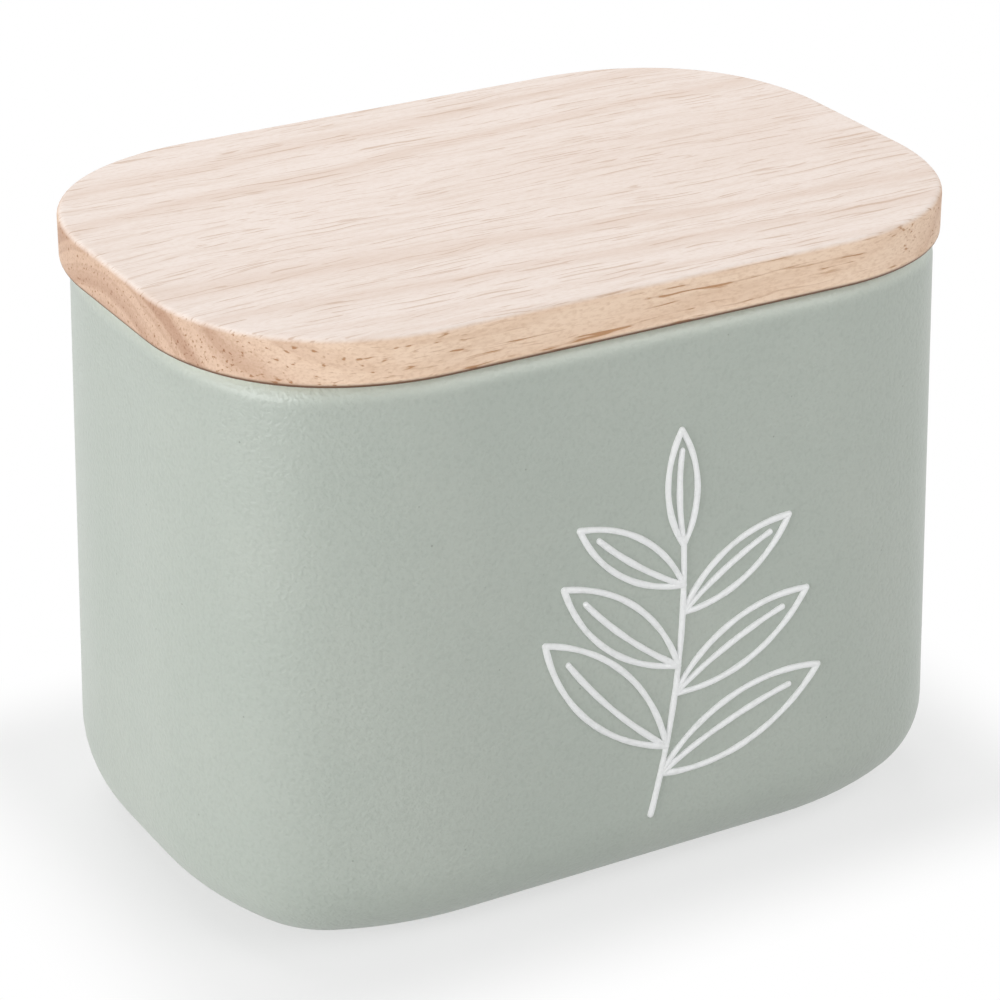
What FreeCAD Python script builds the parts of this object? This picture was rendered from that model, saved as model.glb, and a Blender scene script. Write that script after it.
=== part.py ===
import FreeCAD, Part
import math
import os
from collections import namedtuple
from FreeCAD import Vector

# Cotton pad holder: a glazed ceramic box, a wooden lid that lifts off, the soft ring that centres
# the lid in the mouth, and a leafy sprig in raised line on the front.
# Millimetres, +Z up, long side along X, front towards -Y, origin under the middle of the foot.

# Lid board
lid_length = 130.0
lid_depth = 87.4
lid_thickness = 7.4
lid_corner_share = 0.3685       # of the depth, from the sharp corner to where the straight side begins
lid_corner_tight = 28.2         # radius of the middle arc of a corner
lid_top_edge = 0.6
lid_under_edge = 0.5
lid_overhang = 1.3              # past the rim of the box, all round

# Ceramic box
box_height = 92.8
box_corner_share = 0.415        # of the rim's depth
box_corner_tight = 18.0
corner_lead = 24.0              # degrees that each gentle arc of a corner turns through
flare = 2.2                     # how far the foot of a wall stands out past its rim
wall = 5.0                      # at the rim
mouth_corner = 24.0             # radius of the mouth's corners
floor_thickness = 6.0
base_round = 14.0
well_edge = 5.0                 # between the inner walls and the floor
rim_outer_edge = 1.6
rim_inner_edge = 0.8
foot_width = 4.5
foot_recess = 1.2
foot_recess_tight = 8.0

# Plug under the lid board, and the groove in it for the seal ring
plug_depth = 9.0
plug_gap = 2.2                  # between the plug and the wall of the mouth
plug_edge = 0.8
groove_depth = 1.6
groove_height = 4.4
groove_cover = 2.4              # wood left between the lid board and the groove

# Seal ring
fin_count = 2
fin_root = 1.3                  # thickness of a fin where it leaves the ring
fin_tip = 0.5
fin_clearance = 0.25            # between a fin and the wall of the mouth

# Raised sprig on the front, measured across from the middle and up the front wall
line_width = 1.0
line_height = 0.5
stem_foot_across = 0.5
stem_foot_up = 13.5
stem_head_across = 6.0
stem_head_up = 58.5
stem_bow = 1.8
leaf_pairs = 3
first_leaf = 0.15               # share of the stem below the first leaf
leaf_step = 0.29
pair_stagger = 0.10
leaf_spread = 55.0              # degrees between a leaf and the stem
low_leaf_length = 31.0
leaf_shrink = 4.2               # how much shorter each pair is than the pair below
head_leaf_length = 19.0
leaf_slimness = 0.16            # bow of a leaf's edge as a share of its length
rib_reach = 0.8                 # share of a leaf that its rib covers
rib_bow = 0.03

Plan = namedtuple("Plan", "length depth span tight")


def grown(plan, by):
    """The plan moved outwards by an even distance, or inwards by a negative one."""
    return Plan(plan.length + 2 * by, plan.depth + 2 * by, plan.span + by, plan.tight + by)


rim_length = lid_length - 2 * lid_overhang
rim_depth = lid_depth - 2 * lid_overhang
lid_plan = Plan(lid_length, lid_depth, lid_corner_share * lid_depth, lid_corner_tight)
rim_plan = Plan(rim_length, rim_depth, box_corner_share * rim_depth, box_corner_tight)
foot_plan = grown(rim_plan, flare)
mouth_plan = grown(rim_plan, -wall)._replace(span=mouth_corner, tight=mouth_corner)
plug_plan = grown(mouth_plan, -plug_gap)
groove_plan = grown(plug_plan, -groove_depth)
fin_plan = grown(mouth_plan, -fin_clearance)

groove_high = box_height - groove_cover
groove_low = groove_high - groove_height


def heading(degrees):
    """Unit vector in plan, turned from +X."""
    turn = math.radians(degrees)
    return Vector(math.cos(turn), math.sin(turn), 0)


def outline(plan, z):
    """A rectangle whose corners are three tangent arcs, gentle, tight and gentle, or one where they are alike."""
    lead = math.radians(corner_lead)
    keep = math.cos(lead) - math.sin(lead)
    gentle = (plan.span - plan.tight * keep) / (1 - keep)
    corner = [(gentle, corner_lead), (plan.tight, 90 - 2 * corner_lead), (gentle, corner_lead)]
    if plan.span == plan.tight:
        corner = [(plan.tight, 90)]
    sides = [plan.length - 2 * plan.span, plan.depth - 2 * plan.span] * 2
    here = Vector(-sides[0] / 2, -plan.depth / 2, z)
    angle = 0.0
    edges = []
    for side in sides:
        ahead = here + heading(angle) * side
        edges.append(Part.makeLine(here, ahead))
        here = ahead
        for radius, turn in corner:
            centre = here + heading(angle + 90) * radius
            middle = centre + heading(angle - 90 + turn / 2) * radius
            end = centre + heading(angle - 90 + turn) * radius
            edges.append(Part.Arc(here, middle, end).toShape())
            here = end
            angle += turn
    return Part.Wire(edges)


def prism(plan, low, high):
    """Straight walls on a plan."""
    return Part.Face(outline(plan, low)).extrude(Vector(0, 0, high - low))


def frustum(low_plan, low, high_plan, high):
    """Leaning walls between two plans."""
    return Part.makeLoft([outline(low_plan, low), outline(high_plan, high)], True, True)


def edges_on(shape, plan, z):
    """The edges of a shape that run along a plan's outline at one height."""
    line = outline(plan, z)
    level = [e for e in shape.Edges if e.BoundBox.ZLength < 1e-4 and abs(e.BoundBox.ZMin - z) < 1e-4]
    return [e for e in level if e.distToShape(line)[0] < 1e-4]


def outer_section(start):
    """The outside of the wall over one point of the rim's plan: foot, base rounding, leaning wall and rim."""
    lean = math.atan2(flare, box_height)
    half = (math.pi / 2 - lean) / 2
    reach = base_round / math.tan(half)
    crown = base_round / math.sin(half) - base_round

    def at(out, z):
        return start + Vector(0, -out, z)

    foot = at(flare - reach, 0)
    swell = at(flare - crown * math.cos(half), crown * math.sin(half))
    shoulder = at(flare - reach * math.sin(lean), reach * math.cos(lean))
    rim_low = at(rim_outer_edge * math.tan(lean), box_height - rim_outer_edge)
    rim_top = at(-rim_outer_edge, box_height)
    flats = Part.makePolygon([shoulder, rim_low, rim_top, at(-base_round, box_height), at(-base_round, 0), foot])
    return Part.Wire([Part.Arc(foot, swell, shoulder).toShape(), *flats.Edges])


def make_box():
    """The outer section carried round the rim's plan and filled in the middle, then hollowed and recessed."""
    path = outline(rim_plan, 0)
    ring = path.makePipeShell([outer_section(path.OrderedVertexes[0].Point)], True, True)
    core = prism(grown(rim_plan, -base_round), 0, box_height)
    well = prism(mouth_plan, floor_thickness, box_height)
    well = well.makeChamfer(well_edge, edges_on(well, mouth_plan, floor_thickness))
    recess_plan = grown(foot_plan, -base_round - foot_width)._replace(tight=foot_recess_tight)
    box = ring.fuse(core).cut(well).cut(prism(recess_plan, 0, foot_recess)).removeSplitter()
    return box.makeChamfer(rim_inner_edge, edges_on(box, mouth_plan, box_height))


def make_lid():
    """A board with eased edges, and under it a plug with a groove round its sides."""
    board_top = box_height + lid_thickness
    board = prism(lid_plan, box_height, board_top)
    board = board.makeChamfer(lid_top_edge, edges_on(board, lid_plan, board_top))
    board = board.makeChamfer(lid_under_edge, edges_on(board, lid_plan, box_height))
    plug_low = box_height - plug_depth
    plug = prism(plug_plan, plug_low, box_height)
    plug = plug.makeChamfer(plug_edge, edges_on(plug, plug_plan, plug_low))
    groove = prism(plug_plan, groove_low, groove_high).cut(prism(groove_plan, groove_low, groove_high))
    return board.fuse(plug.cut(groove)).removeSplitter()


def make_seal():
    """A ring that fills the groove, with fins that thin out towards the wall of the mouth."""
    ring = prism(plug_plan, groove_low, groove_high)
    pitch = (groove_height - fin_root) / (fin_count - 1)
    for count in range(fin_count):
        low = groove_low + count * pitch
        slope = frustum(plug_plan, low, fin_plan, low + fin_root - fin_tip)
        tip = prism(fin_plan, low + fin_root - fin_tip, low + fin_root)
        ring = ring.fuse(slope).fuse(tip)
    return ring.cut(prism(groove_plan, groove_low, groove_high)).removeSplitter()


def bow(start, end, height):
    """An arc from start to end that rises to the left of the way between them."""
    along = end - start
    left = Vector(-along.y, along.x, 0).normalize()
    return Part.Arc(start, (start + end) * 0.5 + left * height, end).toShape()


def band(line):
    """The flat strip of one line's width along an arc."""
    first, last = line.ParameterRange
    spots = [line.valueAt(first), line.valueAt((first + last) / 2), line.valueAt(last)]
    steps = [(spot - line.Curve.Center).normalize() * line_width / 2 for spot in spots]
    outer = [spot + step for spot, step in zip(spots, steps)]
    inner = [spot - step for spot, step in zip(spots, steps)]
    sides = [Part.Arc(*outer).toShape(), Part.makeLine(outer[2], inner[2]),
             Part.Arc(*inner[::-1]).toShape(), Part.makeLine(inner[0], outer[0])]
    return Part.Face(Part.Wire(sides))


def lens(middle, angle, half, height):
    """Two equal bows between the ends of a leaf."""
    base = middle - heading(angle) * half
    tip = middle + heading(angle) * half
    return Part.Face(Part.Wire([bow(tip, base, height), bow(base, tip, height)]))


def leaf(base, angle, length):
    """A lens with one line's width left round its edge, and a rib that stops short of its tip."""
    half = length / 2
    height = leaf_slimness * length
    radius = (half ** 2 + height ** 2) / (2 * height)
    inner_half = math.sqrt((radius - line_width) ** 2 - (radius - height) ** 2)
    middle = base + heading(angle) * half
    edge = lens(middle, angle, half, height).cut(lens(middle, angle, inner_half, height - line_width))
    return [edge, band(bow(base, base + heading(angle) * rib_reach * length, rib_bow * length))]


def make_sprig():
    """A bowed stem with pairs of leaves and one at its head, standing out of the leaning front wall."""
    stem = bow(Vector(stem_foot_across, stem_foot_up), Vector(stem_head_across, stem_head_up), -stem_bow)
    first, last = stem.ParameterRange

    def spot(share, turn):
        place = first + share * (last - first)
        run = stem.tangentAt(place)
        return stem.valueAt(place), math.degrees(math.atan2(run.y, run.x)) + turn

    flats = [band(stem), *leaf(*spot(1 - line_width / stem.Length, 0), head_leaf_length)]
    for pair in range(leaf_pairs):
        length = low_leaf_length - leaf_shrink * pair
        share = first_leaf + leaf_step * pair
        flats += leaf(*spot(share, -leaf_spread), length)
        flats += leaf(*spot(share + pair_stagger, leaf_spread), length)
    raised = [flat.extrude(Vector(0, 0, line_height)) for flat in flats]
    sprig = raised[0].multiFuse(raised[1:]).removeSplitter()
    lean = math.degrees(math.atan2(flare, box_height))
    wall_foot = Vector(0, -foot_plan.depth / 2, 0)
    sprig.Placement = FreeCAD.Placement(wall_foot, FreeCAD.Rotation(Vector(1, 0, 0), 90 - lean))
    return sprig


os.makedirs("parts", exist_ok=True)
make_box().exportStep("parts/ceramic_box.step")
make_lid().exportStep("parts/wooden_lid.step")
make_seal().exportStep("parts/lid_seal.step")
make_sprig().exportStep("parts/raised_sprig.step")
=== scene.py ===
"""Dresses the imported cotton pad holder: glazed box, rubberwood lid, silicone ring and raised enamel line."""
import math

import bpy
import numpy as np
from bpy.props import FloatProperty, FloatVectorProperty, IntProperty, PointerProperty
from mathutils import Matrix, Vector


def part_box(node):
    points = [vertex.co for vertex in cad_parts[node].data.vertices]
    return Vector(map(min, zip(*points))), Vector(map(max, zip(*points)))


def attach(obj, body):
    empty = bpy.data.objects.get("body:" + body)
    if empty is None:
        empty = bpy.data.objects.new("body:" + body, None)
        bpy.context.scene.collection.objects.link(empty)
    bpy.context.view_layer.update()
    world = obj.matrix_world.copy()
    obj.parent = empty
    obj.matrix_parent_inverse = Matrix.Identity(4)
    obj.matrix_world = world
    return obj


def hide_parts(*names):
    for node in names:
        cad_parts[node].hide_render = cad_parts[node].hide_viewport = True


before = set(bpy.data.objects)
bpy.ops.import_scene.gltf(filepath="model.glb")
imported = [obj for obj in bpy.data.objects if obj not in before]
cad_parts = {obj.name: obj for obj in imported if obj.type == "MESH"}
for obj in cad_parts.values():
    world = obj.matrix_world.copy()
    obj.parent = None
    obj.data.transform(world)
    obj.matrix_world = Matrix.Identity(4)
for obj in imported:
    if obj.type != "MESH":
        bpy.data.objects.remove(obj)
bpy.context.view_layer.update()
lid_low, lid_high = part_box("wooden_lid")
box_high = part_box("ceramic_box")[1]

bl_info = {
    "name": "Cotton pad holder",
    "version": (1, 0, 0),
    "blender": (4, 5, 0),
    "location": "3D View > Sidebar > Holder",
    "description": "Builds a glazed ceramic box with a rubberwood lid and a raised sprig on its front",
    "category": "Add Mesh",
}

MM = 0.001
SMOOTH_UP_TO = math.radians(40)     # edges sharper than this stay sharp

# Plans of the box, the mouth and the lid
CORNER_LEAD = math.radians(24)      # that each gentle arc of a corner turns through
CORNER_STEPS = (7, 10, 7)           # mesh steps on the gentle, tight and gentle arcs
SIDE_STEPS = 12

# Where a wall or an edge has rings, as shares of its height, close to its ends to keep it flat
WALL_RINGS = np.array([0.02, 0.1, 0.3, 0.5, 0.7, 0.9, 0.98])[:, None]
EDGE_RINGS = np.array([0.05, 0.5, 0.95])[:, None]

# How far from a rounding the ring stands that keeps the flat beside it flat
FLOOR_HOLD = 1.0 * MM
FOOT_HOLD = 0.5 * MM
PLUG_HOLD = 0.5 * MM
BOARD_HOLD = 0.3 * MM
RIM_HOLD = 0.1 * MM

# Beads of the raised line
BEAD_RINGS = 81
BEAD_SIDES = 14
BEAD_SUNK = 0.3                     # share of a bead's height that lies in the glaze
BEAD_TIP = 0.02                     # share of the radius at which a round end is capped

# Waves in a bead's width, as of a hand: share of the width, length, and shift from line to line
HAND_WAVER = ((0.06, 2.3 * MM, 1.7), (0.04, 0.9 * MM, 2.9))

# How the grain of the lid runs, along X
GRAIN_SWAY = (0.0, 8 * MM, 6 * MM)
FIBRE_WAVER = (0.0, 1.4 * MM, 1.0 * MM)
TO_HEART = (0.0, -6 * MM, -62 * MM)
HEART_TILT = (0.0, math.radians(3.0), 0.0)

# Sockets of a Mix node, which share their names
VALUE_A, VALUE_B, COLOUR_A, COLOUR_B, COLOUR = 2, 3, 6, 7, 2

# Stage
IMAGE_PIXELS = 1000
SENSOR = 36.0
NEAREST_SEEN = 0.01
FLOOR_RADII = np.array([4.0, 1.0, 0.3, 0.1])[:, None]
FLOOR_SIDES = 64
FLOOR_DROP = 0.05 * MM              # under the foot, so that the two don't coincide
LIGHT_TARGET = (0.0, 0.0, 0.05)
SOFTBOXES = {                       # place, size and setting of each
    "key_softbox": ((-0.781, -0.284, 0.227), 0.4, "key"),
    "side_softbox": ((-0.753, 0.079, 0.116), 0.2, "side"),
    "front_softbox": ((0.470, -0.671, 0.624), 0.8, "front"),
    "back_softbox": ((0.0, 0.574, 0.869), 0.8, "back"),
}


def linear(code):
    """The linear colour of an sRGB hex value."""
    srgb = np.array([int(code[at:at + 2], 16) for at in (1, 3, 5)]) / 255
    return tuple(np.where(srgb <= 0.04045, srgb / 12.92, ((srgb + 0.055) / 1.055) ** 2.4).tolist())


def metres(name, description, value):
    """A length that a user may change."""
    return FloatProperty(name=name, description=description, default=value, unit="LENGTH", precision=5)


def share(name, description, value):
    """A part of a whole that a user may change."""
    return FloatProperty(name=name, description=description, default=value, subtype="FACTOR", min=0, max=1)


def angle(name, description, degrees):
    """An angle that a user may change."""
    return FloatProperty(name=name, description=description, default=math.radians(degrees), subtype="ANGLE")


def watts(name, description, value):
    """A lamp's power that a user may change."""
    return FloatProperty(name=name, description=description, default=value, unit="POWER", min=0)


def colour(name, description, code):
    """A colour that a user may change, given as an sRGB hex value."""
    return FloatVectorProperty(name=name, description=description, default=linear(code), subtype="COLOR",
                               size=3, min=0, max=1)


class BoxSettings(bpy.types.PropertyGroup):
    """Sizes and colours of the glazed box."""
    height: metres("Height", "From the foot to the rim", box_high.z)
    corner_share: share("Corner share", "How much of the rim's depth one corner takes", 0.415)
    corner_tight: metres("Corner radius", "Radius of the middle arc of a corner", 18 * MM)
    flare: metres("Flare", "How far the foot of a wall stands out past its rim", 2.2 * MM)
    wall: metres("Wall", "Thickness of the wall at the rim", 5 * MM)
    mouth_corner: metres("Mouth corner", "Radius of the mouth's corners", 24 * MM)
    floor: metres("Floor", "Thickness of the floor", 6 * MM)
    base_round: metres("Base rounding", "Radius between the walls and the foot", 14 * MM)
    well_round: metres("Well rounding", "Radius between the inner walls and the floor", 8.5 * MM)
    rim_outer_round: metres("Outer rim rounding", "Radius of the rim's outer edge", 3.0 * MM)
    rim_inner_round: metres("Inner rim rounding", "Radius of the rim's inner edge", 0.8 * MM)
    foot_width: metres("Foot width", "Width of the ring that stands on the table", 4.5 * MM)
    foot_edge: metres("Foot edge", "Radius of the foot ring's inner edge", 0.4 * MM)
    foot_recess: metres("Foot recess", "Depth of the hollow under the floor", 1.2 * MM)
    foot_recess_tight: metres("Recess corner", "Radius of the middle arc of the recess's corners", 8 * MM)
    glaze: colour("Glaze", "Sage colour of the glaze", "#b2bab1")
    thin_glaze: colour("Thin glaze", "Colour where the glaze runs thin", "#b6bdb4")
    # Painted shade: the peel's pits are painted in this deeper colour, standing in for the shading of its
    # bumps
    pit_shade: colour("Pit glaze", "Deeper colour where the glaze pools in the peel's pits", "#9da59c")
    # Painted highlight: this paler colour is painted near the rim, where its rounding catches the light
    rim_highlight: colour("Rim glaze", "Paler colour where the glaze breaks over the rim", "#cfd7cd")
    speck: colour("Speck", "Colour of the iron specks in the glaze", "#7d8278")
    clay: colour("Bare clay", "Colour of the wiped ring under the foot", "#e4dacd")
    cloud_size: metres("Cloud size", "Width of the soft clouds in the glaze", 26 * MM)
    peel_size: metres("Peel size", "Width of the bumps of the glaze's peel", 0.65 * MM)
    peel_depth: metres("Peel depth", "Height of the bumps of the glaze's peel", 0.15 * MM)
    pit_shade_strength: share("Pit strength", "How much deeper the colour of the pits is", 0.26)
    speck_spacing: metres("Speck spacing", "Between one iron speck and the next", 4.5 * MM)
    speck_strength: share("Speck strength", "How dark the specks are", 0.6)
    # Where the painted highlight near the rim starts and is full, below the rim, and how pale it is
    highlight_start: metres("Break start", "Below the rim, where the glaze begins to break", 3.6 * MM)
    highlight_full: metres("Break full", "Below the rim, where it has broken", 0.8 * MM)
    highlight_strength: share("Break strength", "How pale the broken glaze is", 0.9)
    bare_start: metres("Clay start", "Above the table, where the wiped clay begins", 0.30 * MM)
    bare_full: metres("Clay full", "Above the table, where all is wiped", 0.15 * MM)


class LidSettings(bpy.types.PropertyGroup):
    """Sizes and colours of the lid."""
    length: metres("Length", "Along the long side", lid_high.x - lid_low.x)
    depth: metres("Depth", "Along the short side", lid_high.y - lid_low.y)
    top: metres("Top", "Height of the lid's top above the table", lid_high.z)
    overhang: metres("Overhang", "How far the lid stands out past the rim", 1.3 * MM)
    corner_share: share("Corner share", "How much of the depth one corner takes", 0.3685)
    corner_tight: metres("Corner radius", "Radius of the middle arc of a corner", 28.2 * MM)
    top_round: metres("Top edge", "Radius of the top edge", 1.0 * MM)
    under_round: metres("Under edge", "Radius of the under edge", 0.8 * MM)
    plug_bottom: metres("Plug bottom", "Height of the plug's underside above the table", lid_low.z)
    plug_gap: metres("Plug gap", "Between the plug and the wall of the mouth", 2.2 * MM)
    plug_edge: metres("Plug edge", "Radius of the plug's lower edge", 0.8 * MM)
    groove_depth: metres("Groove depth", "How deep the seal sits in the plug", 1.6 * MM)
    groove_height: metres("Groove height", "Height of the seal's groove", 4.4 * MM)
    groove_cover: metres("Groove cover", "Wood between the board and the groove", 2.4 * MM)
    pale: colour("Pale wood", "The wood at the start of a growth layer", "#fceee5")
    growth: colour("Growth layer", "The pinker wood at the end of a growth layer", "#eed9cb")
    streak: colour("Streak", "The fine streaks along the grain", "#dbc0aa")
    pore: colour("Pore", "The open pores that run along the grain", "#b5834f")
    # Painted shade: a dark brown painted on the rounded lower edges, for the shade in the gap under the lid
    under_edge_shade: colour("Lower edge", "The wood browned by the cutter along the lower edge", "#6b4c37")
    edge_tint: colour("Edge tint", "What the sawn edges take off the wood's colour", "#fbeddb")
    end_tint: colour("End tint", "What the end grain takes off the wood's colour", "#c8ae9b")
    sway_run: metres("Sway run", "Length over which the grain sways", 60 * MM)
    sway_width: metres("Sway width", "Width over which the grain sways together", 26 * MM)
    waver_run: metres("Waver run", "Length over which single fibres waver", 9 * MM)
    waver_width: metres("Waver width", "Width over which fibres waver together", 3 * MM)
    layer_width: metres("Layer width", "Thickness of a growth layer", 3.4 * MM)
    layer_strength: share("Layer strength", "How pink the end of a growth layer is", 0.7)
    streak_run: metres("Streak run", "Length of a streak", 26 * MM)
    streak_width: metres("Streak width", "Width of a streak", 1.1 * MM)
    streak_strength: share("Streak strength", "How deep the streaks are", 0.4)
    nap_run: metres("Nap run", "Length of a raised fibre", 0.9 * MM)
    nap_width: metres("Nap width", "Width of a raised fibre", 0.34 * MM)
    pore_run: metres("Pore run", "Length of a pore", 17 * MM)
    pore_width: metres("Pore width", "Space from one pore to the next", 0.5 * MM)
    pore_depth: metres("Pore depth", "How far an open pore lies below the surface", 0.08 * MM)
    filled_strength: share("Filled pores", "How deep the pores are that the sander has filled", 0.32)


class SealSettings(bpy.types.PropertyGroup):
    """Sizes and colours of the ring in the plug's groove."""
    fin_root: metres("Fin root", "Thickness of a fin where it leaves the ring", 1.3 * MM)
    fin_tip: metres("Fin tip", "Thickness of a fin at its tip", 0.5 * MM)
    fin_clearance: metres("Fin clearance", "Between a fin and the wall of the mouth", 0.25 * MM)
    milky: colour("Silicone", "Milky colour of the silicone", "#e6e8e4")
    bloom: colour("Bloom", "Greyer colour where the mould has left a bloom", "#d8dbd6")
    bloom_size: metres("Bloom size", "Width of the bloom's patches", 0.6 * MM)
    light_reach: metres("Light reach", "How far light goes into the silicone", 1.2 * MM)


class SprigSettings(bpy.types.PropertyGroup):
    """Sizes and colours of the raised line on the front."""
    line_width: metres("Line width", "Width of the raised line", 1.0 * MM)
    line_height: metres("Line height", "How far the line stands out of the wall", 0.5 * MM)
    stem_foot_across: metres("Stem foot across", "Sideways from the middle of the front", 0.5 * MM)
    stem_foot_up: metres("Stem foot up", "Up the wall from the table", 13.5 * MM)
    stem_head_across: metres("Stem head across", "Sideways from the middle of the front", 6.0 * MM)
    stem_head_up: metres("Stem head up", "Up the wall from the table", 58.5 * MM)
    stem_bow: metres("Stem bow", "How far the stem bends to the right", 1.8 * MM)
    leaf_pairs: IntProperty(name="Leaf pairs", description="Pairs of leaves along the stem", default=3, min=1)
    first_leaf: share("First leaf", "Share of the stem below the first leaf", 0.15)
    leaf_step: share("Leaf step", "Share of the stem between pairs", 0.29)
    pair_stagger: share("Stagger", "How much higher the left leaf of a pair starts", 0.10)
    leaf_spread: angle("Spread", "Angle between a leaf and the stem", 55)
    low_leaf: metres("Lowest leaf", "Length of the lowest leaves", 31 * MM)
    leaf_shrink: metres("Leaf shrink", "How much shorter each pair is than the pair below", 4.2 * MM)
    head_start: share("Head start", "Share of the stem below the leaf at its head", 0.975)
    head_leaf: metres("Head leaf", "Length of the leaf at the stem's head", 19 * MM)
    leaf_slimness: share("Slimness", "Bow of a leaf's edge as a share of its length", 0.16)
    rib_reach: share("Rib reach", "Share of a leaf that its rib covers", 0.8)
    rib_bow: share("Rib bow", "Bow of a rib as a share of the leaf's length", 0.03)
    enamel: colour("Enamel", "White of the raised line", "#f7f8f8")
    thin_enamel: colour("Thin enamel", "Greyer white where the glaze shows through", "#c9cec8")
    thin_strength: share("Thin strength", "How much of the glaze shows through", 0.30)
    run_size: metres("Run size", "Length of the thin spots", 1.6 * MM)
    ripple_size: metres("Ripple size", "Width of the enamel's ripples", 0.45 * MM)
    ripple_depth: metres("Ripple depth", "Height of the enamel's ripples", 0.14 * MM)


class StageSettings(bpy.types.PropertyGroup):
    """Camera, floor and lights."""
    azimuth: angle("Azimuth", "Camera's turn round the object", -29.70)
    elevation: angle("Elevation", "Camera's angle above the table", 25.28)
    distance: metres("Distance", "From the camera to its target", 0.56076)
    target: FloatVectorProperty(name="Target", description="Point at the middle of the picture",
                                default=(-0.0021975, -0.0029172, 0.05), subtype="XYZ", unit="LENGTH",
                                precision=5)
    focal_pixels: FloatProperty(name="Focal length", description="In pixels of the picture", default=3585.6)
    floor: colour("Floor", "White of the floor", "#ececec")
    near_white: share("White near by", "How white the floor looks close to the object", 0.62)
    shadow_reach: metres("Shadow reach", "Distance at which the floor looks plain white", 24 * MM)
    sky: FloatProperty(name="Sky", description="Strength of the even light from all round", default=0.25)
    key: watts("Key light", "Power of the softbox on the left", 2.7)
    side: watts("Side light", "Power of the low softbox beside the object", 0.92)
    front: watts("Front light", "Power of the large softbox in front", 4.1)
    back: watts("Back light", "Power of the softbox high behind", 5.0)


def plan(long_side, short_side, span, tight):
    """Points and outward normals round a rectangle whose corners are three tangent arcs.

    On one corner the normal turns through t from 0 to 90 degrees, and the point is the arc's centre plus its
    radius times (cos t, sin t). The gentle arcs touch the sides one span from the sharp corner, and their
    radius is the one that meets the tight arc at the lead angle. The other corners are mirror images, joined
    by straight sides whose points lie closer near the corners.
    """
    lead = np.array([math.cos(CORNER_LEAD), math.sin(CORNER_LEAD)])
    keep = lead[0] - lead[1]
    gentle = (span - tight * keep) / (1 - keep)
    quarter = math.pi / 2
    marks = (0, CORNER_LEAD, quarter - CORNER_LEAD, quarter)
    runs = [np.linspace(a, b, n, endpoint=False) for a, b, n in zip(marks, marks[1:], CORNER_STEPS)]
    turn = np.append(np.concatenate(runs), quarter)
    normal = np.stack([np.cos(turn), np.sin(turn)], axis=-1)
    near = np.array([long_side / 2 - gentle, short_side / 2 - span])
    far = np.array([long_side / 2 - span, short_side / 2 - gentle])
    middle = near + (gentle - tight) * lead
    counts = np.add(CORNER_STEPS, (0, 0, 1))
    centre = np.repeat([near, middle, far], counts, axis=0)
    radius = np.repeat([gentle, tight, gentle], counts)[:, None]
    corner = centre + radius * normal

    mirrors = [((1, 1), 1), ((-1, 1), -1), ((-1, -1), 1), ((1, -1), -1)]
    corners = [corner[::way] * sign for sign, way in mirrors]
    normals = [normal[::way] * sign for sign, way in mirrors]
    along = (1 - np.cos(np.linspace(0, math.pi, SIDE_STEPS + 1)[1:-1, None])) / 2
    sides = [a[-1] + (b[0] - a[-1]) * along for a, b in zip(corners, corners[1:] + corners[:1])]
    side_normals = [np.repeat(n[-1:], SIDE_STEPS - 1, axis=0) for n in normals]
    points = np.concatenate([part for pair in zip(corners, sides) for part in pair])
    outward = np.concatenate([part for pair in zip(normals, side_normals) for part in pair])
    return points, outward


def rim_plan(box, lid, grow, tight):
    """The plan of the rim's outer edge, moved outwards by an even distance, with its own tight arc."""
    length = lid.length - 2 * lid.overhang
    depth = lid.depth - 2 * lid.overhang
    return plan(length + 2 * grow, depth + 2 * grow, box.corner_share * depth + grow, tight)


def mouth_plan(box, lid, grow=0.0):
    """The plan of the mouth, moved outwards by an even distance."""
    inset = 2 * (lid.overhang + box.wall - grow)
    corner = box.mouth_corner + grow
    return plan(lid.length - inset, lid.depth - inset, corner, corner)


def arc(centre, radius, start, end, steps):
    """Points (out, up) on a circle from one angle to another, in degrees from outwards towards up."""
    turn = np.radians(np.linspace(start, end, steps + 1))
    return np.array(centre) + radius * np.stack([np.cos(turn), np.sin(turn)], axis=-1)


def rings(outline, section):
    """A section carried round a plan: a point (out, up) gives the ring plan + out * normal at height up."""
    points, normals = outline
    flat = points[None] + normals[None] * section[:, :1, None]
    up = np.broadcast_to(section[:, 1, None, None], flat.shape[:2] + (1,))
    return np.concatenate([flat, up], axis=2)


def numbered(grid):
    """The number of each point of a grid, in the grid's own shape."""
    return np.arange(grid[..., 0].size).reshape(grid.shape[:-1])


def ring_faces(index):
    """Faces from each ring of numbered points to the next; a ring closes on itself."""
    low = index[..., :-1, :]
    high = index[..., 1:, :]
    faces = np.stack([low, np.roll(low, -1, axis=-1), np.roll(high, -1, axis=-1), high], axis=-1)
    return faces.reshape(-1, 4).tolist()


def mesh_object(name, grid, faces, material):
    """A smooth-shaded object whose place is in its mesh."""
    mesh = bpy.data.meshes.new(name)
    mesh.from_pydata(grid.reshape(-1, 3), [], faces)
    mesh.polygons.foreach_set("use_smooth", np.ones(len(mesh.polygons), bool))
    mesh.set_sharp_from_angle(angle=SMOOTH_UP_TO)
    mesh.materials.append(material)
    mesh.update()
    piece = bpy.data.objects.new(name, mesh)
    bpy.context.collection.objects.link(piece)
    return piece


def capped(name, grid, material):
    """A closed piece over a stack of rings, with a face over its first ring and its last."""
    index = numbered(grid)
    caps = [index[0, ::-1].tolist(), index[-1].tolist()]
    return mesh_object(name, grid, ring_faces(index) + caps, material)


def add(tree, kind, inputs=None, **settings):
    """Adds a shader node with its settings, and its inputs, each a value or another node's output."""
    node = tree.nodes.new("ShaderNode" + kind)
    for name, value in settings.items():
        setattr(node, name, value)
    for socket, value in (inputs or {}).items():
        if isinstance(value, bpy.types.NodeSocket):
            tree.links.new(value, node.inputs[socket])
        else:
            node.inputs[socket].default_value = value
    return node


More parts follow.
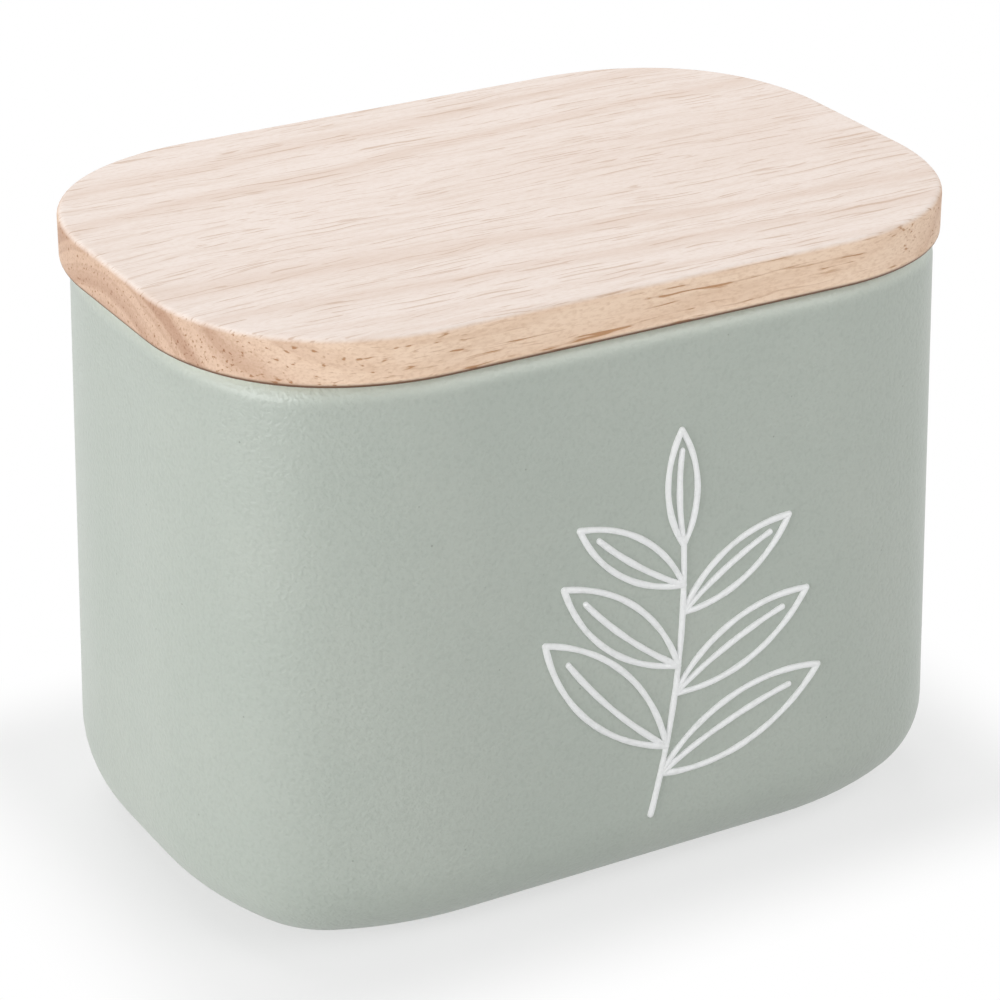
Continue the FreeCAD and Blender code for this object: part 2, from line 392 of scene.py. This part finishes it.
def new_material(name):
    """An empty material and its node tree."""
    material = bpy.data.materials.new(name)
    material.use_nodes = True
    material.node_tree.nodes.clear()
    return material, material.node_tree


def cells(run, width):
    """Mapping scale for texture cells of one length along the grain and one width across it."""
    return (1 / run, 1 / width, 1 / width)


def opaque(tint):
    """A colour with full alpha, as node sockets want it."""
    return (*tint, 1.0)


def satin_glazed_stoneware(box):
    """Stoneware under a satin sage glaze: broad soft highlights, a fine peel, faint clouds and iron specks.

    The pits of its peel are painted deeper, a painted shade of the peel, and the glaze is painted paler near
    the rim, a painted highlight where the rim's rounding catches the light. The ring that stands on the table
    is wiped clean before firing, so bare matt clay shows on it.
    """
    material, tree = new_material("satin_glazed_stoneware")
    place = add(tree, "TexCoord").outputs["Object"]
    height = add(tree, "SeparateXYZ", {"Vector": place}).outputs["Z"]

    # Clouds where the glaze is thinner
    cloud = add(tree, "TexNoise", {"Vector": place, "Scale": 1 / box.cloud_size, "Detail": 4.0})
    thin = add(tree, "MapRange", {
        "Value": cloud.outputs["Fac"], "From Min": 0.35, "From Max": 0.75}, interpolation_type="SMOOTHSTEP")
    body = add(tree, "Mix", {
        "Factor": thin.outputs[0], COLOUR_A: opaque(box.glaze), COLOUR_B: opaque(box.thin_glaze)},
        data_type="RGBA")

    # The peel, drawn a little coarser than the real one so that it shows
    peel = add(tree, "TexNoise", {"Vector": place, "Scale": 1 / box.peel_size, "Detail": 1.0})
    # Painted shade: the pits of the peel are painted deeper, standing in for the shading of its bumps
    painted_pit_shade = add(tree, "MapRange", {
        "Value": peel.outputs["Fac"], "From Min": 0.55, "From Max": 0.25, "To Max": box.pit_shade_strength})
    pit_shaded = add(tree, "Mix", {
        "Factor": painted_pit_shade.outputs[0], COLOUR_A: body.outputs[COLOUR], COLOUR_B: opaque(box.pit_shade)},
        data_type="RGBA")

    # Painted highlight: the glaze is painted paler near the rim, where the rim's rounding catches the light
    rim_highlight_mask = add(tree, "MapRange", {
        "Value": height, "From Min": box.height - box.highlight_start, "From Max": box.height - box.highlight_full,
        "To Max": box.highlight_strength}, interpolation_type="SMOOTHSTEP")
    highlighted = add(tree, "Mix", {
        "Factor": rim_highlight_mask.outputs[0], COLOUR_A: pit_shaded.outputs[COLOUR], COLOUR_B: opaque(box.rim_highlight)},
        data_type="RGBA")

    # Iron specks, one in each cell, small dots only where the surface cuts one near its middle
    grain = add(tree, "TexVoronoi", {"Vector": place, "Scale": 1 / box.speck_spacing})
    dot = add(tree, "MapRange", {
        "Value": grain.outputs["Distance"], "From Min": 0.044, "From Max": 0.022,
        "To Max": box.speck_strength})
    specked = add(tree, "Mix", {
        "Factor": dot.outputs[0], COLOUR_A: highlighted.outputs[COLOUR], COLOUR_B: opaque(box.speck)},
        data_type="RGBA")

    # Bare clay under the foot
    wiped = add(tree, "MapRange", {
        "Value": height, "From Min": box.bare_start, "From Max": box.bare_full})
    bared = add(tree, "Mix", {
        "Factor": wiped.outputs[0], COLOUR_A: specked.outputs[COLOUR], COLOUR_B: opaque(box.clay)},
        data_type="RGBA")

    satin = add(tree, "MapRange", {"Value": peel.outputs["Fac"], "To Min": 0.34, "To Max": 0.46})
    gloss = add(tree, "Mix", {"Factor": wiped.outputs[0], VALUE_A: satin.outputs[0], VALUE_B: 0.85})
    relief = add(tree, "Bump", {
        "Height": peel.outputs["Fac"], "Strength": 1.0, "Distance": box.peel_depth})
    shader = add(tree, "BsdfPrincipled", {
        "Base Color": bared.outputs[COLOUR], "Roughness": gloss.outputs[0], "IOR": 1.6,
        "Normal": relief.outputs[0]})
    add(tree, "OutputMaterial", {"Surface": shader.outputs[0]})
    return material


def fired_white_enamel(sprig):
    """White enamel trailed on the glaze and fired: soft rippled gloss, greyed by the glaze in thin spots."""
    material, tree = new_material("fired_white_enamel")
    place = add(tree, "TexCoord").outputs["Object"]
    run = add(tree, "TexNoise", {"Vector": place, "Scale": 1 / sprig.run_size, "Detail": 2.0})
    thin = add(tree, "MapRange", {
        "Value": run.outputs["Fac"], "From Min": 0.55, "From Max": 0.8, "To Max": sprig.thin_strength})
    body = add(tree, "Mix", {
        "Factor": thin.outputs[0], COLOUR_A: opaque(sprig.enamel), COLOUR_B: opaque(sprig.thin_enamel)},
        data_type="RGBA")
    ripple = add(tree, "TexNoise", {"Vector": place, "Scale": 1 / sprig.ripple_size, "Detail": 1.0})
    relief = add(tree, "Bump", {
        "Height": ripple.outputs["Fac"], "Strength": 1.0, "Distance": sprig.ripple_depth})
    shader = add(tree, "BsdfPrincipled", {
        "Base Color": body.outputs[COLOUR], "Roughness": 0.34, "IOR": 1.5, "Normal": relief.outputs[0]})
    add(tree, "OutputMaterial", {"Surface": shader.outputs[0]})
    return material


def sanded_rubberwood(lid):
    """Flat-sawn rubberwood, sanded and bare: pale, with faint pink growth layers, fine streaks and pores.

    The pattern is solid, as in real wood: growth layers are rings round a heart line under the board, and
    pores are tubes along X, so they show as dashes on the top and the long edges and as dots on the ends.
    """
    material, tree = new_material("sanded_rubberwood")
    place = add(tree, "TexCoord").outputs["Object"]
    normal = add(tree, "NewGeometry").outputs["Normal"]
    facing = add(tree, "SeparateXYZ", {"Vector": normal})
    upright = add(tree, "Math", {0: facing.outputs["Z"]}, operation="ABSOLUTE")
    edge = add(tree, "MapRange", {"Value": upright.outputs[0], "From Min": 0.9, "From Max": 0.4})
    endwise = add(tree, "Math", {0: facing.outputs["X"], 1: facing.outputs["X"]},
                  operation="MULTIPLY")

    # The grain sways a little to either side, as a tree grows
    sways = add(tree, "Mapping", {"Vector": place, "Scale": cells(lid.sway_run, lid.sway_width)})
    sway = add(tree, "TexNoise", {"Vector": sways.outputs[0], "Scale": 1.0, "Detail": 2.0})
    swayed = add(tree, "VectorMath", {0: sway.outputs["Color"], 1: GRAIN_SWAY, 2: place},
                 operation="MULTIPLY_ADD").outputs[0]

    # Single fibres waver too, over a shorter way
    wavers = add(tree, "Mapping", {"Vector": place, "Scale": cells(lid.waver_run, lid.waver_width)})
    waver = add(tree, "TexNoise", {"Vector": wavers.outputs[0], "Scale": 1.0, "Detail": 1.0})
    fibres = add(tree, "VectorMath", {0: waver.outputs["Color"], 1: FIBRE_WAVER, 2: swayed},
                 operation="MULTIPLY_ADD").outputs[0]

    # Growth layers follow the distance from the heart line, paler and pinker by turns
    heart = add(tree, "Mapping", {"Vector": swayed, "Location": TO_HEART, "Rotation": HEART_TILT})
    spoke = add(tree, "VectorMath", {0: heart.outputs[0], 1: (0.0, 1.0, 1.0)}, operation="MULTIPLY")
    radius = add(tree, "VectorMath", {0: spoke.outputs[0]}, operation="LENGTH").outputs["Value"]
    layer = add(tree, "TexNoise", {"W": radius, "Scale": 1 / lid.layer_width, "Detail": 3.0},
                noise_dimensions="1D")
    growth = add(tree, "MapRange", {
        "Value": layer.outputs["Fac"], "From Min": 0.42, "From Max": 0.80, "To Max": lid.layer_strength})
    grown = add(tree, "Mix", {
        "Factor": growth.outputs[0], COLOUR_A: opaque(lid.pale), COLOUR_B: opaque(lid.growth)},
        data_type="RGBA")

    # Soft streaks of fibre
    threads = add(tree, "Mapping", {
        "Vector": fibres, "Scale": cells(lid.streak_run, lid.streak_width)})
    thread = add(tree, "TexNoise", {
        "Vector": threads.outputs[0], "Scale": 1.0, "Detail": 4.0, "Roughness": 0.62})
    streak = add(tree, "MapRange", {
        "Value": thread.outputs["Fac"], "From Min": 0.48, "From Max": 0.74, "To Max": lid.streak_strength})
    streaked = add(tree, "Mix", {
        "Factor": streak.outputs[0], COLOUR_A: grown.outputs[COLOUR], COLOUR_B: opaque(lid.streak)},
        data_type="RGBA")

    # The sanded nap, rougher on the sawn edges. Real fibres are finer, and drawn coarser so that they show.
    naps = add(tree, "Mapping", {"Vector": place, "Scale": cells(lid.nap_run, lid.nap_width)})
    nap = add(tree, "TexNoise", {"Vector": naps.outputs[0], "Scale": 1.0, "Detail": 2.0})
    rough = add(tree, "MapRange", {"Value": edge.outputs[0], "To Min": 0.25, "To Max": 0.5})
    fuzz = add(tree, "MapRange", {
        "Value": nap.outputs["Fac"], "From Min": 0.45, "From Max": 0.75, "To Max": rough.outputs[0]})
    napped = add(tree, "Mix", {
        "Factor": fuzz.outputs[0], COLOUR_A: streaked.outputs[COLOUR], COLOUR_B: opaque(lid.streak)},
        data_type="RGBA")

    # Pores: many pale dashes that the sander has filled, and a few open brown ones, deepest on sawn edges.
    # Real pores are a fifth of a millimetre wide, and are drawn coarser so that they show.
    tubes = add(tree, "Mapping", {"Vector": fibres, "Scale": cells(lid.pore_run, lid.pore_width)})
    tube = add(tree, "TexNoise", {"Vector": tubes.outputs[0], "Scale": 1.0, "Detail": 1.0})
    filled = add(tree, "MapRange", {
        "Value": tube.outputs["Fac"], "From Min": 0.605, "From Max": 0.67, "To Max": lid.filled_strength})
    dashed = add(tree, "Mix", {
        "Factor": filled.outputs[0], COLOUR_A: napped.outputs[COLOUR], COLOUR_B: opaque(lid.pore)},
        data_type="RGBA")
    depth = add(tree, "MapRange", {"Value": edge.outputs[0], "To Min": 0.12, "To Max": 0.68})
    pore = add(tree, "MapRange", {
        "Value": tube.outputs["Fac"], "From Min": 0.69, "From Max": 0.72, "To Max": depth.outputs[0]})
    pored = add(tree, "Mix", {
        "Factor": pore.outputs[0], COLOUR_A: dashed.outputs[COLOUR], COLOUR_B: opaque(lid.pore)},
        data_type="RGBA")

    # Sawn edges look deeper than the sanded top, most of all the end grain, which the growth layers band
    bands = add(tree, "MapRange", {
        "Value": layer.outputs["Fac"], "From Min": 0.40, "From Max": 0.62, "To Min": 0.60})
    ends = add(tree, "Math", {0: endwise.outputs[0], 1: bands.outputs[0]}, operation="MULTIPLY")
    tint = add(tree, "Mix", {
        "Factor": ends.outputs[0], COLOUR_A: opaque(lid.edge_tint), COLOUR_B: opaque(lid.end_tint)},
        data_type="RGBA")
    sawn = add(tree, "Mix", {
        "Factor": edge.outputs[0], COLOUR_A: pored.outputs[COLOUR], COLOUR_B: tint.outputs[COLOUR]},
        data_type="RGBA", blend_type="MULTIPLY")

    # Painted shade: the rounded lower edges are painted dark brown, the shade of the gap under the lid; the
    # flats under it are not
    below = add(tree, "MapRange", {
        "Value": facing.outputs["Z"], "From Min": -0.02, "From Max": -0.4})
    curved = add(tree, "MapRange", {
        "Value": facing.outputs["Z"], "From Min": -0.98, "From Max": -0.9})
    darkened = add(tree, "Math", {0: below.outputs[0], 1: curved.outputs[0]}, operation="MULTIPLY")
    under_edge_shade = add(tree, "Mix", {
        "Factor": darkened.outputs[0], COLOUR_A: sawn.outputs[COLOUR], COLOUR_B: opaque(lid.under_edge_shade)},
        data_type="RGBA")

    relief = add(tree, "Bump", {
        "Height": pore.outputs[0], "Strength": 0.6, "Distance": lid.pore_depth}, invert=True)
    shader = add(tree, "BsdfPrincipled", {
        "Base Color": under_edge_shade.outputs[COLOUR], "Roughness": 0.6, "IOR": 1.45, "Normal": relief.outputs[0]})
    add(tree, "OutputMaterial", {"Surface": shader.outputs[0]})
    return material


def moulded_silicone(seal):
    """Moulded silicone: milky, so light goes a little way in, with a waxy gloss that a mould bloom dulls."""
    material, tree = new_material("moulded_silicone")
    place = add(tree, "TexCoord").outputs["Object"]

    # A real bloom is finer, and is drawn coarser so that it shows
    bloom = add(tree, "TexNoise", {"Vector": place, "Scale": 1 / seal.bloom_size, "Detail": 3.0})
    gloss = add(tree, "MapRange", {"Value": bloom.outputs["Fac"], "To Min": 0.32, "To Max": 0.5})
    milk = add(tree, "Mix", {
        "Factor": bloom.outputs["Fac"], COLOUR_A: opaque(seal.milky), COLOUR_B: opaque(seal.bloom)},
        data_type="RGBA")
    shader = add(tree, "BsdfPrincipled", {
        "Base Color": milk.outputs[COLOUR], "Roughness": gloss.outputs[0], "IOR": 1.41,
        "Subsurface Weight": 0.5, "Subsurface Radius": (1.0, 1.0, 0.9), "Subsurface Scale": seal.light_reach})
    add(tree, "OutputMaterial", {"Surface": shader.outputs[0]})
    return material


def white_seamless_paper(stage):
    """Matt white paper: it takes the object's shadow near by, and is plain white to the eye further off."""
    material, tree = new_material("white_seamless_paper")
    place = add(tree, "TexCoord").outputs["Object"]
    reach = add(tree, "VectorMath", {0: place}, operation="ABSOLUTE")
    beyond = add(tree, "VectorMath", {0: reach.outputs[0], 1: (box_high.x, box_high.y, 0.0)},
                 operation="SUBTRACT")
    outside = add(tree, "VectorMath", {0: beyond.outputs[0], 1: (0.0, 0.0, 0.0)},
                  operation="MAXIMUM")
    away = add(tree, "VectorMath", {0: outside.outputs[0]}, operation="LENGTH")
    far = add(tree, "MapRange", {
        "Value": away.outputs["Value"], "From Max": stage.shadow_reach, "To Min": stage.near_white},
        interpolation_type="SMOOTHSTEP")
    white = add(tree, "Math", {0: far.outputs[0], 1: background_rays(tree)}, operation="MULTIPLY")
    matt = add(tree, "BsdfDiffuse", {"Color": opaque(stage.floor)})
    glow = add(tree, "Emission", {"Strength": 1.0})
    paper = add(tree, "MixShader", {0: white.outputs[0], 1: matt.outputs[0], 2: glow.outputs[0]})
    add(tree, "OutputMaterial", {"Surface": paper.outputs[0]})
    return material


def background_rays(tree):
    """One for rays that show the background: straight from the camera, off a gloss or through glass."""
    path = add(tree, "LightPath")
    direct = add(tree, "Math", {0: path.outputs["Is Camera Ray"], 1: path.outputs["Is Glossy Ray"]},
                 operation="MAXIMUM")
    seen = add(tree, "Math", {0: direct.outputs[0], 1: path.outputs["Is Transmission Ray"]},
               operation="MAXIMUM")
    return seen.outputs[0]


class HOLDER_OT_box(bpy.types.Operator):
    """Build the glazed box: foot, rounded base, leaning walls, rim and well"""
    bl_idname = "holder.make_box"
    bl_label = "Glazed box"

    def execute(self, context):
        box, lid = context.scene.holder_box, context.scene.holder_lid
        recess = rim_plan(box, lid, box.flare - box.base_round - box.foot_width, box.foot_recess_tight)
        rim = rim_plan(box, lid, 0.0, box.corner_tight)
        grid = np.concatenate([rings(recess, self.under(box)), rings(rim, self.outside(box)),
                               rings(mouth_plan(box, lid), self.inside(box))])
        piece = capped("glazed_box", grid, satin_glazed_stoneware(box))
        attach(piece, "box")
        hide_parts("ceramic_box")
        return {"FINISHED"}

    def under(self, box):
        """The recess under the floor, and the quarter circle down to the ring that stands on the table."""
        hollow = [(-FLOOR_HOLD, box.foot_recess), (0, box.foot_recess)]
        foot = arc((box.foot_edge, box.foot_edge), box.foot_edge, start=180, end=270, steps=5)
        return np.concatenate([hollow, foot, [foot[-1] + (FOOT_HOLD, 0)]])

    def outside(self, box):
        """The base's arc from the table to the leaning wall, the straight wall, and the rim's arc to its top.

        The wall leans by atan(flare / height). The base's arc touches the table base_round / tan(half the
        angle between table and wall) inside the foot of the wall's line, and the rim's arc touches that line
        and the top.
        """
        lean = math.atan2(box.flare, box.height)
        tilt = math.degrees(lean)
        reach = box.base_round / math.tan((math.pi / 2 - lean) / 2)
        base = arc((box.flare - reach, box.base_round), box.base_round, start=-90, end=tilt, steps=18)
        rim_up = box.height - box.rim_outer_round
        touch = rim_up + box.rim_outer_round * math.sin(lean)
        rim_out = box.flare * (1 - touch / box.height) - box.rim_outer_round * math.cos(lean)
        rim = arc((rim_out, rim_up), box.rim_outer_round, start=tilt, end=90, steps=10)
        wall = base[-1] + (rim[0] - base[-1]) * WALL_RINGS
        return np.concatenate([[base[0] - (FLOOR_HOLD, 0)], base, wall, rim, [rim[-1] - (RIM_HOLD, 0)]])

    def inside(self, box):
        """The rim's inner quarter circle, the upright inner wall, and the quarter circle to the floor."""
        inner = box.rim_inner_round
        lip = arc((inner, box.height - inner), inner, start=90, end=180, steps=8)
        well = arc((-box.well_round, box.floor + box.well_round), box.well_round, start=0, end=-90, steps=14)
        wall = lip[-1] + (well[0] - lip[-1]) * WALL_RINGS
        return np.concatenate([[lip[0] + (RIM_HOLD, 0)], lip, wall, well, [well[-1] - (FLOOR_HOLD, 0)]])


def groove_span(box, lid):
    """Heights of the groove's lower and upper side."""
    high = box.height - lid.groove_cover
    return high - lid.groove_height, high


class HOLDER_OT_lid(bpy.types.Operator):
    """Build the lid: a board with eased edges, and under it the plug with its groove"""
    bl_idname = "holder.make_lid"
    bl_label = "Rubberwood lid"

    def execute(self, context):
        box, lid = context.scene.holder_box, context.scene.holder_lid
        board = plan(lid.length, lid.depth, lid.corner_share * lid.depth, lid.corner_tight)
        grid = np.concatenate([rings(mouth_plan(box, lid, -lid.plug_gap), self.plug(box, lid)),
                               rings(board, self.board(box, lid))])
        piece = capped("rubberwood_lid", grid, sanded_rubberwood(lid))
        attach(piece, "lid")
        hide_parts("wooden_lid")
        return {"FINISHED"}

    def plug(self, box, lid):
        """A quarter circle at the plug's lower edge, then its upright side with a square groove in it."""
        low, high = groove_span(box, lid)
        depth, edge = lid.groove_depth, lid.plug_edge
        corner = arc((-edge, lid.plug_bottom + edge), edge, start=-90, end=0, steps=5)
        side = [(0, low), (-depth, low), (-depth, high), (0, high), (0, box.height)]
        return np.concatenate([[corner[0] - (PLUG_HOLD, 0)], corner, side])

    def board(self, box, lid):
        """Quarter circles at the board's under and top edges, with its upright side between them."""
        low, high = lid.under_round, lid.top_round
        under = arc((-low, box.height + low), low, start=-90, end=0, steps=6)
        over = arc((-high, lid.top - high), high, start=0, end=90, steps=8)
        side = under[-1] + (over[0] - under[-1]) * EDGE_RINGS
        hold = (BOARD_HOLD, 0)
        return np.concatenate([[under[0] - hold], under, side, over, [over[-1] - hold]])


class HOLDER_OT_seal(bpy.types.Operator):
    """Build the silicone ring in the plug's groove, with its two soft fins"""
    bl_idname = "holder.make_seal"
    bl_label = "Silicone ring"

    def execute(self, context):
        box, lid, seal = context.scene.holder_box, context.scene.holder_lid, context.scene.holder_seal
        low, high = groove_span(box, lid)
        fins = [self.fin(lid, seal, foot) for foot in (low, high - seal.fin_root)]
        section = np.concatenate([[(-lid.groove_depth, low)], *fins, [(-lid.groove_depth, high)]])
        grid = rings(mouth_plan(box, lid, -lid.plug_gap), section)
        index = numbered(grid)
        faces = ring_faces(np.concatenate([index, index[:1]]))
        piece = mesh_object("silicone_ring", grid, faces, moulded_silicone(seal))
        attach(piece, "lid")
        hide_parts("lid_seal")
        return {"FINISHED"}

    def fin(self, lid, seal, foot):
        """A fin's outline: its flat top stands square to the ring, its underside slopes up to a round tip."""
        tip = seal.fin_tip / 2
        reach = lid.plug_gap - seal.fin_clearance - tip
        top = foot + seal.fin_root
        end = arc((reach, top - tip), tip, start=-60, end=90, steps=6)
        return np.concatenate([[(0, foot)], end, [(0, top)]])


def bowed(start, end, bow, along):
    """Points and directions on arcs from start to end that rise by bow to the left of the way.

    With half the sweep f = 2 atan(2 bow / chord) and s from -1 to 1, the point lies
    chord/2 * sin(f s) / sin f along the chord from its middle, and chord/2 * (cos(f s) - cos f) / sin f to
    its left.
    """
    chord = end - start
    run = np.linalg.norm(chord, axis=-1, keepdims=True)
    ahead = (chord / run)[:, None]
    left = np.stack([-ahead[..., 1], ahead[..., 0]], axis=-1)
    half = 2 * np.arctan2(2 * bow[:, None], run)
    sweep = half * (2 * along - 1)
    forth = (run / 2 * np.sin(sweep) / np.sin(half))[..., None]
    side = (run / 2 * (np.cos(sweep) - np.cos(half)) / np.sin(half))[..., None]
    point = ((start + end) / 2)[:, None] + ahead * forth + left * side
    return point, ahead * np.cos(sweep)[..., None] - left * np.sin(sweep)[..., None]


def sprig_lines(sprig):
    """Start, end and bow of every line: the stem, and for each leaf its two edges and its rib.

    A leaf starts at its share of the stem and heads off at the spread from the stem's direction there. Right
    leaves come first, then left ones, then the leaf at the head.
    """
    stem_foot = np.array([[sprig.stem_foot_across, sprig.stem_foot_up]])
    stem_head = np.array([[sprig.stem_head_across, sprig.stem_head_up]])
    stem_bow = np.array([-sprig.stem_bow])
    pair = np.arange(sprig.leaf_pairs)
    spread = np.full(sprig.leaf_pairs, sprig.leaf_spread)
    right = sprig.first_leaf + sprig.leaf_step * pair
    shares = np.concatenate([right, right + sprig.pair_stagger, [sprig.head_start]])
    turns = np.concatenate([-spread, spread, [0.0]])
    paired = sprig.low_leaf - sprig.leaf_shrink * pair
    sizes = np.concatenate([paired, paired, [sprig.head_leaf]])

    spots, runs = bowed(stem_foot, stem_head, stem_bow, shares[None])
    foot = spots[0]
    aim = np.arctan2(runs[0, :, 1], runs[0, :, 0]) + turns
    heading = np.stack([np.cos(aim), np.sin(aim)], axis=-1)
    tip = foot + heading * (sizes - sprig.line_width / 2)[:, None]
    rib_end = foot + heading * (sprig.rib_reach * sizes)[:, None]
    edge_bow = sprig.leaf_slimness * sizes - sprig.line_width / 2
    rib_bow = sprig.rib_bow * sizes
    starts = np.concatenate([stem_foot, foot, foot, foot])
    ends = np.concatenate([stem_head, tip, tip, rib_end])
    return starts, ends, np.concatenate([stem_bow, edge_bow, -edge_bow, rib_bow])


class HOLDER_OT_sprig(bpy.types.Operator):
    """Build the raised line: rounded beads along the stem and the leaves, on the leaning front wall"""
    bl_idname = "holder.make_sprig"
    bl_label = "Raised sprig"

    def execute(self, context):
        box, lid, sprig = context.scene.holder_box, context.scene.holder_lid, context.scene.holder_sprig
        grid = self.on_wall(box, lid, *self.beads(sprig))
        index = numbered(grid)
        caps = index[:, 0, ::-1].tolist() + index[:, -1].tolist()
        piece = mesh_object("enamel_sprig", grid, ring_faces(index) + caps, fired_white_enamel(sprig))
        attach(piece, "box")
        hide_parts("raised_sprig")
        return {"FINISHED"}

    def beads(self, sprig):
        """Place (across, up) of every bead point on the flat wall, and its height over the wall.

        Each line runs past its ends by its radius, where it narrows along a half circle: one radius r short
        of the end it has its full swell, and d short of the end sqrt(1 - (1 - d / r)^2) of it. A little
        waver, as of a hand, is added to the swell. Round a line, a point at turn t lies
        radius * swell * cos t to its left and line_height * swell * sin t over the wall, and no deeper in
        the glaze than the sunk share.
        """
        start, end, bow = sprig_lines(sprig)
        radius = sprig.line_width / 2
        along = (1 - np.cos(np.linspace(0, math.pi, BEAD_RINGS)))[None] / 2
        past = radius / np.linalg.norm(end - start, axis=-1, keepdims=True)
        point, run = bowed(start, end, bow, along * (1 + 2 * past) - past)
        left = np.stack([-run[..., 1], run[..., 0]], axis=-1)
        step = np.linalg.norm(np.diff(point, axis=1), axis=-1)
        gone = np.concatenate([np.zeros((len(step), 1)), np.cumsum(step, axis=1)], axis=1)
        to_end = np.minimum(gone, gone[:, -1:] - gone)
        line = np.arange(len(gone))[:, None]
        waver = sum(part * np.sin(gone / wave + shift * line) for part, wave, shift in HAND_WAVER)
        swell = np.sqrt(1 - (1 - np.clip(to_end / radius, BEAD_TIP, 1)) ** 2) * (1 + waver)
        turn = np.linspace(0, 2 * math.pi, BEAD_SIDES, endpoint=False)
        aside = (radius * swell)[..., None] * np.cos(turn)
        place = point[:, :, None] + left[:, :, None] * aside[..., None]
        return place, sprig.line_height * swell[..., None] * np.maximum(np.sin(turn), -BEAD_SUNK)

    def on_wall(self, box, lid, place, height):
        """The flat drawing leant back with the front wall, about the wall's foot."""
        lean = math.atan2(box.flare, box.height)
        wall_foot = -(lid.depth / 2 - lid.overhang + box.flare)
        across, up = place[..., 0], place[..., 1]
        return np.stack([across,
                         wall_foot + up * math.sin(lean) - height * math.cos(lean),
                         up * math.cos(lean) + height * math.sin(lean)], axis=-1)


class HOLDER_OT_stage(bpy.types.Operator):
    """Set up the camera, the white floor and the soft lights"""
    bl_idname = "holder.make_stage"
    bl_label = "Stage"

    def execute(self, context):
        stage = context.scene.holder_stage
        context.scene.view_settings.view_transform = "Standard"
        self.make_camera(context, stage)
        self.make_floor(stage)
        self.make_sky(context, stage)
        for name, (place, size, setting) in SOFTBOXES.items():
            self.make_softbox(context, name, place, size, getattr(stage, setting))
        return {"FINISHED"}

    def make_camera(self, context, stage):
        """The camera stands back from its target along the view's direction, level with the horizon."""
        level = math.cos(stage.elevation)
        back = Vector((math.sin(stage.azimuth) * level, -math.cos(stage.azimuth) * level,
                       math.sin(stage.elevation)))
        data = bpy.data.cameras.new("camera")
        data.sensor_width = SENSOR
        data.lens = stage.focal_pixels / IMAGE_PIXELS * SENSOR
        data.clip_start = NEAREST_SEEN
        camera = bpy.data.objects.new("camera", data)
        camera.location = Vector(stage.target) + back * stage.distance
        camera.rotation_euler = (-back).to_track_quat("-Z", "Y").to_euler()
        context.collection.objects.link(camera)
        context.scene.camera = camera

    def make_floor(self, stage):
        """A disc under the foot: rings of shrinking radius round the origin, and a face in the middle."""
        turn = np.linspace(0, 2 * math.pi, FLOOR_SIDES, endpoint=False)
        across = FLOOR_RADII * np.cos(turn)
        grid = np.stack([across, FLOOR_RADII * np.sin(turn), np.full_like(across, -FLOOR_DROP)], axis=-1)
        index = numbered(grid)
        faces = ring_faces(index) + [index[-1].tolist()]
        floor = mesh_object("floor", grid, faces, white_seamless_paper(stage))

    def make_sky(self, context, stage):
        """Even white light from all round, plain white where the eye sees it."""
        world = bpy.data.worlds.new("white_room")
        world.use_nodes = True
        tree = world.node_tree
        tree.nodes.clear()
        strength = add(tree, "MapRange", {"Value": background_rays(tree), "To Min": stage.sky})
        sky = add(tree, "Background", {"Color": (1, 1, 1, 1), "Strength": strength.outputs[0]})
        add(tree, "OutputWorld", {"Surface": sky.outputs[0]})
        context.scene.world = world

    def make_softbox(self, context, name, place, size, power):
        """A square soft light that faces the object."""
        data = bpy.data.lights.new(name, "AREA")
        data.size = size
        data.energy = power
        lamp = bpy.data.objects.new(name, data)
        lamp.location = place
        lamp.rotation_euler = (Vector(LIGHT_TARGET) - Vector(place)).to_track_quat("-Z", "Y").to_euler()
        context.collection.objects.link(lamp)


class HOLDER_PT_panel(bpy.types.Panel):
    """Lists the pieces and their settings"""
    bl_label = "Cotton pad holder"
    bl_space_type = "VIEW_3D"
    bl_region_type = "UI"
    bl_category = "Holder"

    def draw(self, context):
        for operator, settings in PIECES.items():
            column = self.layout.column()
            column.operator(operator)
            group = getattr(context.scene, settings)
            for name in group.bl_rna.properties.keys():
                if name not in ("rna_type", "name"):
                    column.prop(group, name)


PIECES = {
    "holder.make_box": "holder_box",
    "holder.make_lid": "holder_lid",
    "holder.make_seal": "holder_seal",
    "holder.make_sprig": "holder_sprig",
    "holder.make_stage": "holder_stage",
}
SETTINGS = {
    "holder_box": BoxSettings,
    "holder_lid": LidSettings,
    "holder_seal": SealSettings,
    "holder_sprig": SprigSettings,
    "holder_stage": StageSettings,
}
CLASSES = (*SETTINGS.values(), HOLDER_OT_box, HOLDER_OT_lid, HOLDER_OT_seal, HOLDER_OT_sprig, HOLDER_OT_stage,
           HOLDER_PT_panel)


def register():
    """Makes the settings, operators and panel known to Blender."""
    for item in CLASSES:
        bpy.utils.register_class(item)
    for name, group in SETTINGS.items():
        setattr(bpy.types.Scene, name, PointerProperty(type=group))


def unregister():
    """Takes them away again."""
    for name in SETTINGS:
        delattr(bpy.types.Scene, name)
    for item in reversed(CLASSES):
        bpy.utils.unregister_class(item)


def main():
    """Builds every piece and the stage."""
    register()
    bpy.ops.holder.make_box()
    bpy.ops.holder.make_lid()
    bpy.ops.holder.make_seal()
    bpy.ops.holder.make_sprig()
    bpy.ops.holder.make_stage()


if __name__ == "__main__":
    main()
